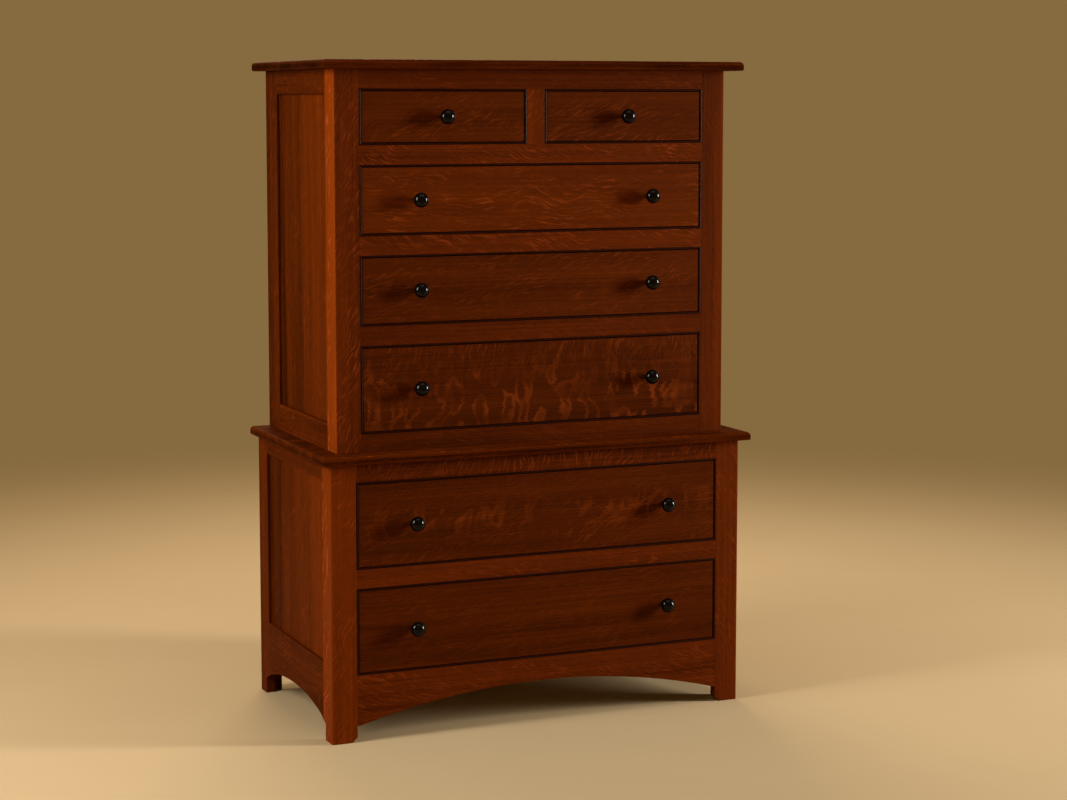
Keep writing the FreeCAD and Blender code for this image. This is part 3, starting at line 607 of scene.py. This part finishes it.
    # Lacquer: satin, a little smoother on the figure, sunk into the pores
    sheen = add("MapRange", {"Value": lines, "To Min": 0.38, "To Max": 0.54})
    sheen = add("Math", {0: figure, 1: -0.08, 2: sheen}, operation="MULTIPLY_ADD")
    height = add("Math", {0: pores, 1: -1.0, 2: lines}, operation="MULTIPLY_ADD")
    relief = add("Bump", {"Height": height, "Strength": 0.25, "Distance": 0.15 * MM})
    lacquer = add("BsdfPrincipled", {"Base Color": colour, "Roughness": sheen, "Normal": relief, "IOR": 1.5,
                                     "Specular IOR Level": gloss, "Specular Tint": oak.lacquer_tint})
    add("OutputMaterial", {"Surface": lacquer})
    return material


def plain_wood(name, colour, streak_width, contrast, roughness, gloss):
    """A plain, even wood with soft streaks along the grain."""
    # To the eye: pale and close, with soft streaks, fine pores and darker end grain
    material, add = new_material(name)
    board = add("Attribute", out="Vector", attribute_name="board")
    tone = add("Attribute", out="Fac", attribute_name="tone")
    end_grain = add("Attribute", out="Fac", attribute_name="end_grain")
    drift = add("VectorMath", {0: board, 1: INNER_DRIFT_WAVES}, operation="MULTIPLY")
    drift = add("TexNoise", {"Vector": drift, "Scale": 1.0, "Detail": 2.0}, out="Color")
    drift = add("VectorMath", {0: drift, 1: INNER_DRIFT_PUSH}, operation="MULTIPLY")
    wood = add("VectorMath", {0: board, 1: drift}, operation="ADD")
    streak_waves = (STREAK_WAVES_ALONG, 1 / streak_width, 1 / streak_width)
    streaks = add("VectorMath", {0: wood, 1: streak_waves}, operation="MULTIPLY")
    streaks = add("TexNoise", {"Vector": streaks, "Scale": 1.0, "Detail": 5.0, "Roughness": 0.6})
    pores = add("VectorMath", {0: wood, 1: INNER_PORE_WAVES}, operation="MULTIPLY")
    pores = add("TexNoise", {"Vector": pores, "Scale": 1.0, "Detail": 1.0})
    pores = add("MapRange", {"Value": pores, "From Min": 0.58, "From Max": 0.74})
    shade = 1.0 - contrast / 2
    for part, weight in ((streaks, contrast), (tone, 0.12), (pores, -0.12), (end_grain, -0.28)):
        shade = add("Math", {0: part, 1: weight, 2: shade}, operation="MULTIPLY_ADD")
    tint = add("VectorMath", {0: colour[:3], 3: shade}, operation="SCALE")
    sheen = add("MapRange", {"Value": streaks, "To Min": roughness - 0.05, "To Max": roughness + 0.08})
    relief = add("Bump", {"Height": pores, "Strength": 0.2, "Distance": 0.1 * MM})
    surface = add("BsdfPrincipled", {"Base Color": tint, "Roughness": sheen, "Normal": relief, "IOR": 1.5,
                                     "Specular IOR Level": gloss})
    add("OutputMaterial", {"Surface": surface})
    return material


def ebonised_wood(name, trim):
    """Close-grained strip wood, dyed black and rubbed to a satin sheen."""
    # To the eye: nearly black, a soft line of light along the rounded nose, faint grain
    material, add = new_material(name)
    board = add("Attribute", out="Vector", attribute_name="board")
    grain = add("VectorMath", {0: board, 1: BEAD_GRAIN_WAVES}, operation="MULTIPLY")
    grain = add("TexNoise", {"Vector": grain, "Scale": 1.0, "Detail": 3.0})
    shade = add("MapRange", {"Value": grain, "To Min": 0.6, "To Max": 1.5})
    tint = add("VectorMath", {0: trim.bead_black[:3], 3: shade}, operation="SCALE")
    sheen = add("MapRange", {"Value": grain, "To Min": 0.36, "To Max": 0.42})
    relief = add("Bump", {"Height": grain, "Strength": 0.01, "Distance": 0.1 * MM})
    surface = add("BsdfPrincipled", {"Base Color": tint, "Roughness": sheen, "Normal": relief, "IOR": 1.5,
                                     "Specular IOR Level": trim.bead_gloss,
                                     "Specular Tint": trim.bead_sheen})
    add("OutputMaterial", {"Surface": surface})
    return material


def black_lacquer(name, trim):
    """Turned hardwood under a glossy black lacquer."""
    # To the eye: deep black with small sharp lights, a trace of dust and of brushed-out lacquer
    material, add = new_material(name)
    place = add("TexCoord", out="Object")
    peel = add("TexNoise", {"Vector": place, "Scale": LACQUER_PEEL_WAVES, "Detail": 2.0})
    dust = add("TexNoise", {"Vector": place, "Scale": LACQUER_DUST_WAVES, "Detail": 1.0})
    shade = add("MapRange", {"Value": dust, "To Min": 0.7, "To Max": 1.4})
    tint = add("VectorMath", {0: trim.knob_black[:3], 3: shade}, operation="SCALE")
    sheen = add("MapRange", {"Value": peel, "To Min": 0.06, "To Max": 0.12})
    relief = add("Bump", {"Height": peel, "Strength": 0.06, "Distance": 0.2 * MM})
    surface = add("BsdfPrincipled", {"Base Color": tint, "Roughness": sheen, "Normal": relief, "IOR": 1.5,
                                     "Specular IOR Level": trim.knob_gloss})
    add("OutputMaterial", {"Surface": surface})
    return material


def zinc_plate(name, inside):
    """Steel screws with a bright zinc plating."""
    # To the eye: a cool grey metal, cloudy where the plating is uneven
    material, add = new_material(name)
    place = add("TexCoord", out="Object")
    cloud = add("TexNoise", {"Vector": place, "Scale": ZINC_CLOUD_WAVES, "Detail": 3.0})
    shade = add("MapRange", {"Value": cloud, "To Min": 0.75, "To Max": 1.1})
    tint = add("VectorMath", {0: inside.zinc[:3], 3: shade}, operation="SCALE")
    sheen = add("MapRange", {"Value": cloud, "To Min": 0.28, "To Max": 0.45})
    surface = add("BsdfPrincipled", {"Base Color": tint, "Roughness": sheen, "Metallic": 1.0})
    add("OutputMaterial", {"Surface": surface})
    return material


def plain_floor(name, stage):
    """A plain matte floor that fades into the space around it."""
    # To the eye: pale and even, with the faintest mottle, and no far edge
    material, add = new_material(name)
    place = add("TexCoord", out="Object")
    mottle = add("TexNoise", {"Vector": place, "Scale": FLOOR_MOTTLE_WAVES, "Detail": 4.0})
    shade = add("MapRange", {"Value": mottle, "To Min": 0.97, "To Max": 1.03})
    tint = add("VectorMath", {0: stage.floor[:3], 3: shade}, operation="SCALE")
    surface = add("BsdfPrincipled", {"Base Color": tint, "Roughness": 0.85, "Specular IOR Level": 0.1})
    away = add("VectorMath", {0: place}, out="Value", operation="LENGTH")
    gone = add("MapRange", {"Value": away, "From Min": stage.floor_fade, "From Max": stage.floor_reach},
               interpolation_type="SMOOTHSTEP")
    clear = add("BsdfTransparent")
    faded = add("MixShader", {0: gone, 1: surface, 2: clear})
    add("OutputMaterial", {"Surface": faded})
    return material


# Operators

class CHEST_OT_case_boards(bpy.types.Operator):
    """Ease the stiles, rails, mullion and apron of both face frames"""
    bl_idname = "chest.case_boards"
    bl_label = "Face frames"

    # How strong the flecks are, at what angle they cross the grain, and how pale the board and its edges
    # are;
    # the left stiles' paler edges are painted light, where light falls on the front left corner
    figure = {
        "upper_left_stile": {"fleck": (0.7,), "lean": 32, "tone": 0.2, "edge": 5.4},
        "upper_right_stile": {"fleck": (0.15,), "lean": -25, "tone": -0.1},
        "upper_top_rail": {"fleck": (0.25,), "lean": -12, "tone": -0.3},
        "upper_drawer_rails": {"fleck": lambda middle: (0.6,) if middle.z > THIRD_DRAWER_TOP else (0.2,),
                               "lean": -20,
                               "tone": lambda middle: 0.2 if middle.z > THIRD_DRAWER_TOP else -0.9},
        "upper_mullion": {"fleck": (0.4,), "lean": 20, "tone": 1.4},
        "lower_left_stile": {"fleck": (0.4,), "lean": 25, "tone": 2.4, "edge": 1.8},
        "lower_right_stile": {"fleck": (0.4,), "lean": -25, "tone": 0.8},
        "lower_top_rail": {"fleck": (0.6,), "lean": 65, "tone": -0.6},
        "lower_drawer_rail": {"fleck": (0.4,), "lean": -15, "tone": 0.4},
        "lower_apron": {"fleck": (0.4,), "lean": -15},
    }

    def execute(self, context):
        oak = context.scene.chest_oak
        material = finish("stained_oak_case", stained_oak, oak.case_stain, oak, oak.satin_gloss)
        for node, figure in self.figure.items():
            dress(node, "oak", material, eased=oak.edge_ease, tone_spread=0.25, **figure)
        return {"FINISHED"}


class CHEST_OT_top_boards(bpy.types.Operator):
    """Finish the top and the waist board with their rounded edges"""
    bl_idname = "chest.top_boards"
    bl_label = "Top and waist"

    tones = {"upper_top": -2.9, "waist_top": -1.4}

    def execute(self, context):
        oak = context.scene.chest_oak
        material = finish("stained_oak_rubbed", stained_oak, oak.case_stain, oak, oak.rubbed_gloss)
        for node, tone in self.tones.items():
            dress(node, "oak", material, eased=oak.edge_ease, grain="x", tone=tone, tone_spread=0.2)
        return {"FINISHED"}


class CHEST_OT_side_frames(bpy.types.Operator):
    """Ease the stiles and rails of the sides and the backs"""
    bl_idname = "chest.side_frames"
    bl_label = "Side and back frames"

    def execute(self, context):
        oak = context.scene.chest_oak
        material = finish("stained_oak_rubbed", stained_oak, oak.case_stain, oak, oak.rubbed_gloss)
        for node in SIDE_FRAMES + BACK_FRAMES:
            dress(node, "oak", material, eased=oak.edge_ease, tone=self.paleness, tone_spread=0.3,
                  fleck=self.mottle)
        return {"FINISHED"}

    def paleness(self, middle):
        """The stiles behind the front corners are paler boards and the rest darker; the left ones are much
        paler, painted light where light falls on the front left corner, most of all above the waist.
        """
        if middle.y > SIDE_PANEL_FRONT:
            return -0.8
        if middle.x > 0:
            return 1.0
        return 5.5 if middle.z > WAIST_HEIGHT else 3.9

    def mottle(self, middle):
        """The left stiles behind the front corners are covered with flecks."""
        return (1.0,) if middle.x < 0 and middle.y < SIDE_PANEL_FRONT else (0.3,)


class CHEST_OT_side_panels(bpy.types.Operator):
    """Glue up the side panels from upright boards"""
    bl_idname = "chest.side_panels"
    bl_label = "Side panels"

    # Where the seams between the boards lie, as shares of the panel's width
    seams = (0.27, 0.52, 0.78)

    def execute(self, context):
        oak = context.scene.chest_oak
        material = finish("stained_oak_panel", stained_oak, oak.panel_stain, oak, oak.rubbed_gloss)
        for node in SIDE_PANELS:
            low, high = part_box(node)
            places = [low.y + (high.y - low.y) * share for share in self.seams]
            sawn = partial(sawn_into_boards, places=places, axis=(0, 1, 0))
            dress(node, "oak", material, sawn, grain="z", tone=self.paleness, tone_spread=0.3,
                  fleck=(0.3,))
        return {"FINISHED"}

    def paleness(self, middle):
        """Boards grow paler towards the front, painted light where more light falls near the front corner,
        and those of the lower case are a little paler.
        """
        return -8 * middle.y + (0.3 if middle.z < WAIST_HEIGHT else 0.0)


class CHEST_OT_back_panels(bpy.types.Operator):
    """Finish the plywood panels of the backs"""
    bl_idname = "chest.back_panels"
    bl_label = "Back panels"

    def execute(self, context):
        oak = context.scene.chest_oak
        stain = context.scene.chest_inside.back_stain
        material = finish("stained_oak_plywood", stained_oak, stain, oak, oak.satin_gloss)
        for node in BACK_PANELS:
            dress(node, "ply", material, grain="z", fleck=(0.2,))
        return {"FINISHED"}


class CHEST_OT_drawer_fronts(bpy.types.Operator):
    """Ease the drawer fronts and give each its own figure"""
    bl_idname = "chest.drawer_fronts"
    bl_label = "Drawer fronts"

    # Strengths of flecks and flames at the lowest edge, a quarter up, half way, three quarters up and on top
    figure = {
        "top_left_drawer": {"fleck": (0.6, 0.6, 0.45, 0.35, 0.3), "lean": 26, "tone": 0.9},
        "top_right_drawer": {"fleck": (0.9, 0.9, 0.6, 0.4, 0.3), "lean": 28, "tone": 0.7},
        "second_drawer": {"fleck": (0.7, 0.8, 0.8, 0.7, 0.5), "lean": -8, "tone": 2.6},
        "third_drawer": {"fleck": (0.3, 0.4, 0.5, 0.5, 0.45), "lean": 16, "tone": 0.8},
        "fourth_drawer": {"fleck": (0.0, 0.05, 0.1, 0.35, 0.6), "lean": 75, "tone": 0.0,
                          "flame": (1.0, 1.05, 0.85, 0.3, 0.0)},
        "fifth_drawer": {"fleck": (0.35, 0.4, 0.35, 0.2, 0.2), "lean": 22,
                         "flame": (0.0, 0.05, 0.8, 0.05, 0.0)},
        "bottom_drawer": {"fleck": (0.25,), "lean": 14},
    }

    # Shares of the height where edges are cut to hold the strengths, the middle one above the knobs' bores
    cuts = (0.25, 0.57, 0.75)

    def execute(self, context):
        oak = context.scene.chest_oak
        material = finish("stained_oak_front", stained_oak, oak.front_stain, oak, oak.satin_gloss)
        for drawer in DRAWERS:
            node = f"{drawer}_front"
            low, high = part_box(node)
            places = [low.z + (high.z - low.z) * share for share in self.cuts]
            sawn = partial(cut_across, places=places, axis=(0, 0, 1))
            dress(node, "oak", material, sawn, oak.front_ease, grain="x", tone_spread=0.25,
                  **self.figure[drawer])
        return {"FINISHED"}


class CHEST_OT_drawer_boxes(bpy.types.Operator):
    """Finish the dovetailed maple boxes and their plywood bottoms"""
    bl_idname = "chest.drawer_boxes"
    bl_label = "Drawer boxes"

    def execute(self, context):
        inside = context.scene.chest_inside
        maple = finish("clear_hard_maple", plain_wood, inside.maple, streak_width=7 * MM, contrast=0.35,
                       roughness=0.42, gloss=0.3)
        birch = finish("birch_plywood", plain_wood, inside.birch, streak_width=16 * MM, contrast=0.3,
                       roughness=0.5, gloss=0.3)
        for drawer in DRAWERS:
            dress(f"{drawer}_box", "maple", maple, eased=context.scene.chest_oak.edge_ease / 2)
            dress(f"{drawer}_bottom", "ply", birch, grain="x")
        return {"FINISHED"}


class CHEST_OT_inner_boards(bpy.types.Operator):
    """Finish the runners, kickers, web rails and stops"""
    bl_idname = "chest.inner_boards"
    bl_label = "Runners and web rails"

    def execute(self, context):
        poplar = finish("planed_poplar", plain_wood, context.scene.chest_inside.poplar, streak_width=12 * MM,
                        contrast=0.4, roughness=0.55, gloss=0.2)
        for node in INNER_BOARDS:
            dress(node, "poplar", poplar, eased=context.scene.chest_oak.edge_ease)
        return {"FINISHED"}


class CHEST_OT_beads(bpy.types.Operator):
    """Finish the black beads round the drawer openings"""
    bl_idname = "chest.beads"
    bl_label = "Black beads"

    def execute(self, context):
        material = finish("ebonised_strip_wood", ebonised_wood, context.scene.chest_trim)
        for node in BEADS:
            dress(node, "black", material)
        return {"FINISHED"}


def arc(start, end, radius, steps):
    """Points after start on an arc to end, swelling to the left, or to the right for a radius below 0."""
    start, end = Vector(start), Vector(end)
    chord = end - start
    half = chord.length / 2
    left = Vector((-chord.y, chord.x)).normalized()
    centre = (start + end) / 2 - left * math.copysign(math.sqrt(radius * radius - half * half), radius)
    sweep = -math.copysign(2 * math.asin(half / abs(radius)), radius)
    spoke = start - centre
    points = []
    for step in range(1, steps + 1):
        angle = sweep * step / steps
        points.append(centre + Vector((spoke.x * math.cos(angle) - spoke.y * math.sin(angle),
                                       spoke.x * math.sin(angle) + spoke.y * math.cos(angle))))
    return points


class CHEST_OT_knobs(bpy.types.Operator):
    """Turn one knob and set a copy on each drawer front"""
    bl_idname = "chest.knobs"
    bl_label = "Turned knobs"

    # Middles that agree to this many decimals are those of one knob
    place_decimals = 5

    def execute(self, context):
        trim = context.scene.chest_trim
        material = finish("glossy_black_lacquer", black_lacquer, trim)
        pattern = self.turned(trim)
        for drawer in DRAWERS:
            node = f"{drawer}_knobs"
            low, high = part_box(node)
            radius = (high.z - low.z) / 2
            middles = {round(x, self.place_decimals) for x in (low.x + radius, high.x - radius)}
            copies = []
            for x in sorted(middles):
                copy = own_copy(pattern)
                edit_all(copy)
                bpy.ops.transform.translate(value=(x, low.y, (low.z + high.z) / 2))
                bpy.ops.object.mode_set(mode="OBJECT")
                copies.append(copy)
            settle(joined(copies, f"{node}_turned"), node, material)
        bpy.data.objects.remove(pattern)
        return {"FINISHED"}

    def turned(self, trim):
        """One knob spun about the Y axis, the top of its crown at the origin."""
        low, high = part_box("top_left_drawer_knobs")
        shoulder = (high.z - low.z) / 2 - trim.knob_rim_bulge
        rim_end = trim.knob_crown + trim.knob_rim
        face = rim_end + trim.knob_neck
        tenon_end = face + trim.knob_tenon_length
        rim_radius = ((trim.knob_rim / 2) ** 2 + trim.knob_rim_bulge ** 2) / (2 * trim.knob_rim_bulge)
        crown_radius = (shoulder ** 2 + trim.knob_crown ** 2) / (2 * trim.knob_crown)
        profile = [Vector((0, tenon_end)), Vector((trim.knob_tenon / 2, tenon_end)),
                   Vector((trim.knob_tenon / 2, face)), Vector((trim.knob_foot / 2, face))]
        profile += arc(profile[-1], (shoulder, rim_end), -trim.knob_hollow, steps=10)
        profile += arc(profile[-1], (shoulder, trim.knob_crown), rim_radius, steps=14)
        profile += arc(profile[-1], (0, 0), crown_radius, steps=10)
        bpy.ops.object.select_all(action="DESELECT")
        bpy.ops.mesh.primitive_plane_add(size=MM)
        knob = bpy.context.object
        knob.name = "knob_pattern"
        edit_all(knob)
        bpy.ops.mesh.merge(type="CENTER")
        bpy.ops.transform.translate(value=(profile[0].x, profile[0].y, 0))
        for before, after in zip(profile, profile[1:]):
            step = after - before
            bpy.ops.mesh.extrude_vertices_move(TRANSFORM_OT_translate={"value": (step.x, step.y, 0)})
        bpy.ops.mesh.select_all(action="SELECT")
        bpy.ops.mesh.spin(steps=trim.knob_steps, angle=math.tau, center=(0, 0, 0), axis=(0, 1, 0))
        bpy.ops.mesh.select_all(action="SELECT")
        bpy.ops.mesh.remove_doubles(threshold=WELD_GAP)
        bpy.ops.mesh.normals_make_consistent(inside=False)
        bpy.ops.object.mode_set(mode="OBJECT")
        smooth(knob, SHARP_ANGLE)
        return knob


class CHEST_OT_screws(bpy.types.Operator):
    """Plate the screws that join the two cases"""
    bl_idname = "chest.screws"
    bl_label = "Case screws"

    def execute(self, context):
        screws = frame["nodes"]["case_screws"]
        screws.data.materials.clear()
        screws.data.materials.append(finish("zinc_plated_steel", zinc_plate, context.scene.chest_inside))
        return {"FINISHED"}


class CHEST_OT_stage(bpy.types.Operator):
    """Lay the floor, hang the lamps and place the camera"""
    bl_idname = "chest.stage"
    bl_label = "Stage"

    # Name, place, point aimed at, width, height, power in watts, colour
    lamps = (
        ("lamp_right", (5.2, -2.5, 1.85), (0.0, -0.2, 0.85), 0.75, 2.3, 450, "#FFF6EC"),
        ("window_left", (-3.1, -0.5, 2.05), (-0.5, 0.0, 0.8), 0.9, 1.7, 106, "#FFF6EC"),
        ("overhead", (0.0, -0.8, 4.4), (0.0, 0.0, 0.6), 3.0, 3.0, 24, "#FFFAF4"),
        ("from_behind", (0.6, 3.6, 4.0), (0.0, 0.0, 0.8), 2.2, 2.0, 150, "#FFE4C4"),
    )

    def execute(self, context):
        stage = context.scene.chest_stage
        self.lay_floor(context, stage)
        for lamp in self.lamps:
            self.hang(context.scene, *lamp)
        self.surround(context.scene, stage)
        self.place_camera(context.scene, stage)
        context.scene.view_settings.view_transform = "Standard"
        return {"FINISHED"}

    def lay_floor(self, context, stage):
        """A plain floor under the chest."""
        bpy.ops.object.select_all(action="DESELECT")
        bpy.ops.mesh.primitive_plane_add(size=stage.floor_side)
        floor = context.object
        floor.name = "floor"
        floor.data.materials.append(finish("plain_matte_floor", plain_floor, stage))

    def hang(self, scene, name, place, target, width, height, power, hex_colour):
        """A soft lamp that the camera doesn't see."""
        data = bpy.data.lights.new(name, "AREA")
        data.shape = "RECTANGLE"
        data.size = width
        data.size_y = height
        data.energy = power
        data.color = linear(hex_colour)[:3]
        lamp = bpy.data.objects.new(name, data)
        lamp.location = place
        lamp.rotation_euler = (Vector(target) - Vector(place)).to_track_quat("-Z", "Y").to_euler()
        lamp.visible_camera = False
        scene.collection.objects.link(lamp)

    def surround(self, scene, stage):
        """Even light from all around."""
        world = bpy.data.worlds.new("studio")
        scene.world = world
        world.use_nodes = True
        world.node_tree.nodes.clear()
        add = partial(add_node, world.node_tree)
        glow = add("Background", {"Color": stage.surround, "Strength": stage.ambient})
        add("OutputWorld", {"Surface": glow})

    def place_camera(self, scene, stage):
        """A camera in front of the chest and to its left."""
        data = bpy.data.cameras.new("camera")
        data.lens = stage.lens
        data.shift_y = stage.shift
        camera = bpy.data.objects.new("camera", data)
        camera.location = stage.camera_place
        camera.rotation_euler = (math.pi / 2 - stage.camera_dip, 0, -stage.camera_turn)
        scene.collection.objects.link(camera)
        scene.camera = camera


OPERATORS = (
    CHEST_OT_case_boards, CHEST_OT_top_boards, CHEST_OT_side_frames, CHEST_OT_side_panels,
    CHEST_OT_back_panels, CHEST_OT_drawer_fronts, CHEST_OT_drawer_boxes, CHEST_OT_inner_boards,
    CHEST_OT_beads, CHEST_OT_knobs, CHEST_OT_screws, CHEST_OT_stage,
)
SETTINGS = {
    "chest_oak": ChestOakSettings, "chest_trim": ChestTrimSettings, "chest_inside": ChestInsideSettings,
    "chest_stage": ChestStageSettings,
}


class CHEST_PT_sidebar(bpy.types.Panel):
    """Lists the steps that dress the chest, and their settings"""
    bl_idname = "CHEST_PT_sidebar"
    bl_label = "Chest on Chest"
    bl_space_type = "VIEW_3D"
    bl_region_type = "UI"
    bl_category = "Chest"

    def draw(self, context):
        column = self.layout.column(align=True)
        for operator in OPERATORS:
            column.operator(operator.bl_idname)
        for name, group in SETTINGS.items():
            box = self.layout.box()
            for setting in group.__annotations__:
                box.prop(getattr(context.scene, name), setting)


def register():
    for group in SETTINGS.values():
        bpy.utils.register_class(group)
    for name, group in SETTINGS.items():
        setattr(bpy.types.Scene, name, PointerProperty(type=group))
    for operator in OPERATORS:
        bpy.utils.register_class(operator)
    bpy.utils.register_class(CHEST_PT_sidebar)


def unregister():
    bpy.utils.unregister_class(CHEST_PT_sidebar)
    for operator in reversed(OPERATORS):
        bpy.utils.unregister_class(operator)
    for name in SETTINGS:
        delattr(bpy.types.Scene, name)
    for group in reversed(SETTINGS.values()):
        bpy.utils.unregister_class(group)


def main():
    register()
    for operator in OPERATORS:
        family, name = operator.bl_idname.split(".")
        getattr(getattr(bpy.ops, family), name)()


if __name__ == "__main__":
    main()
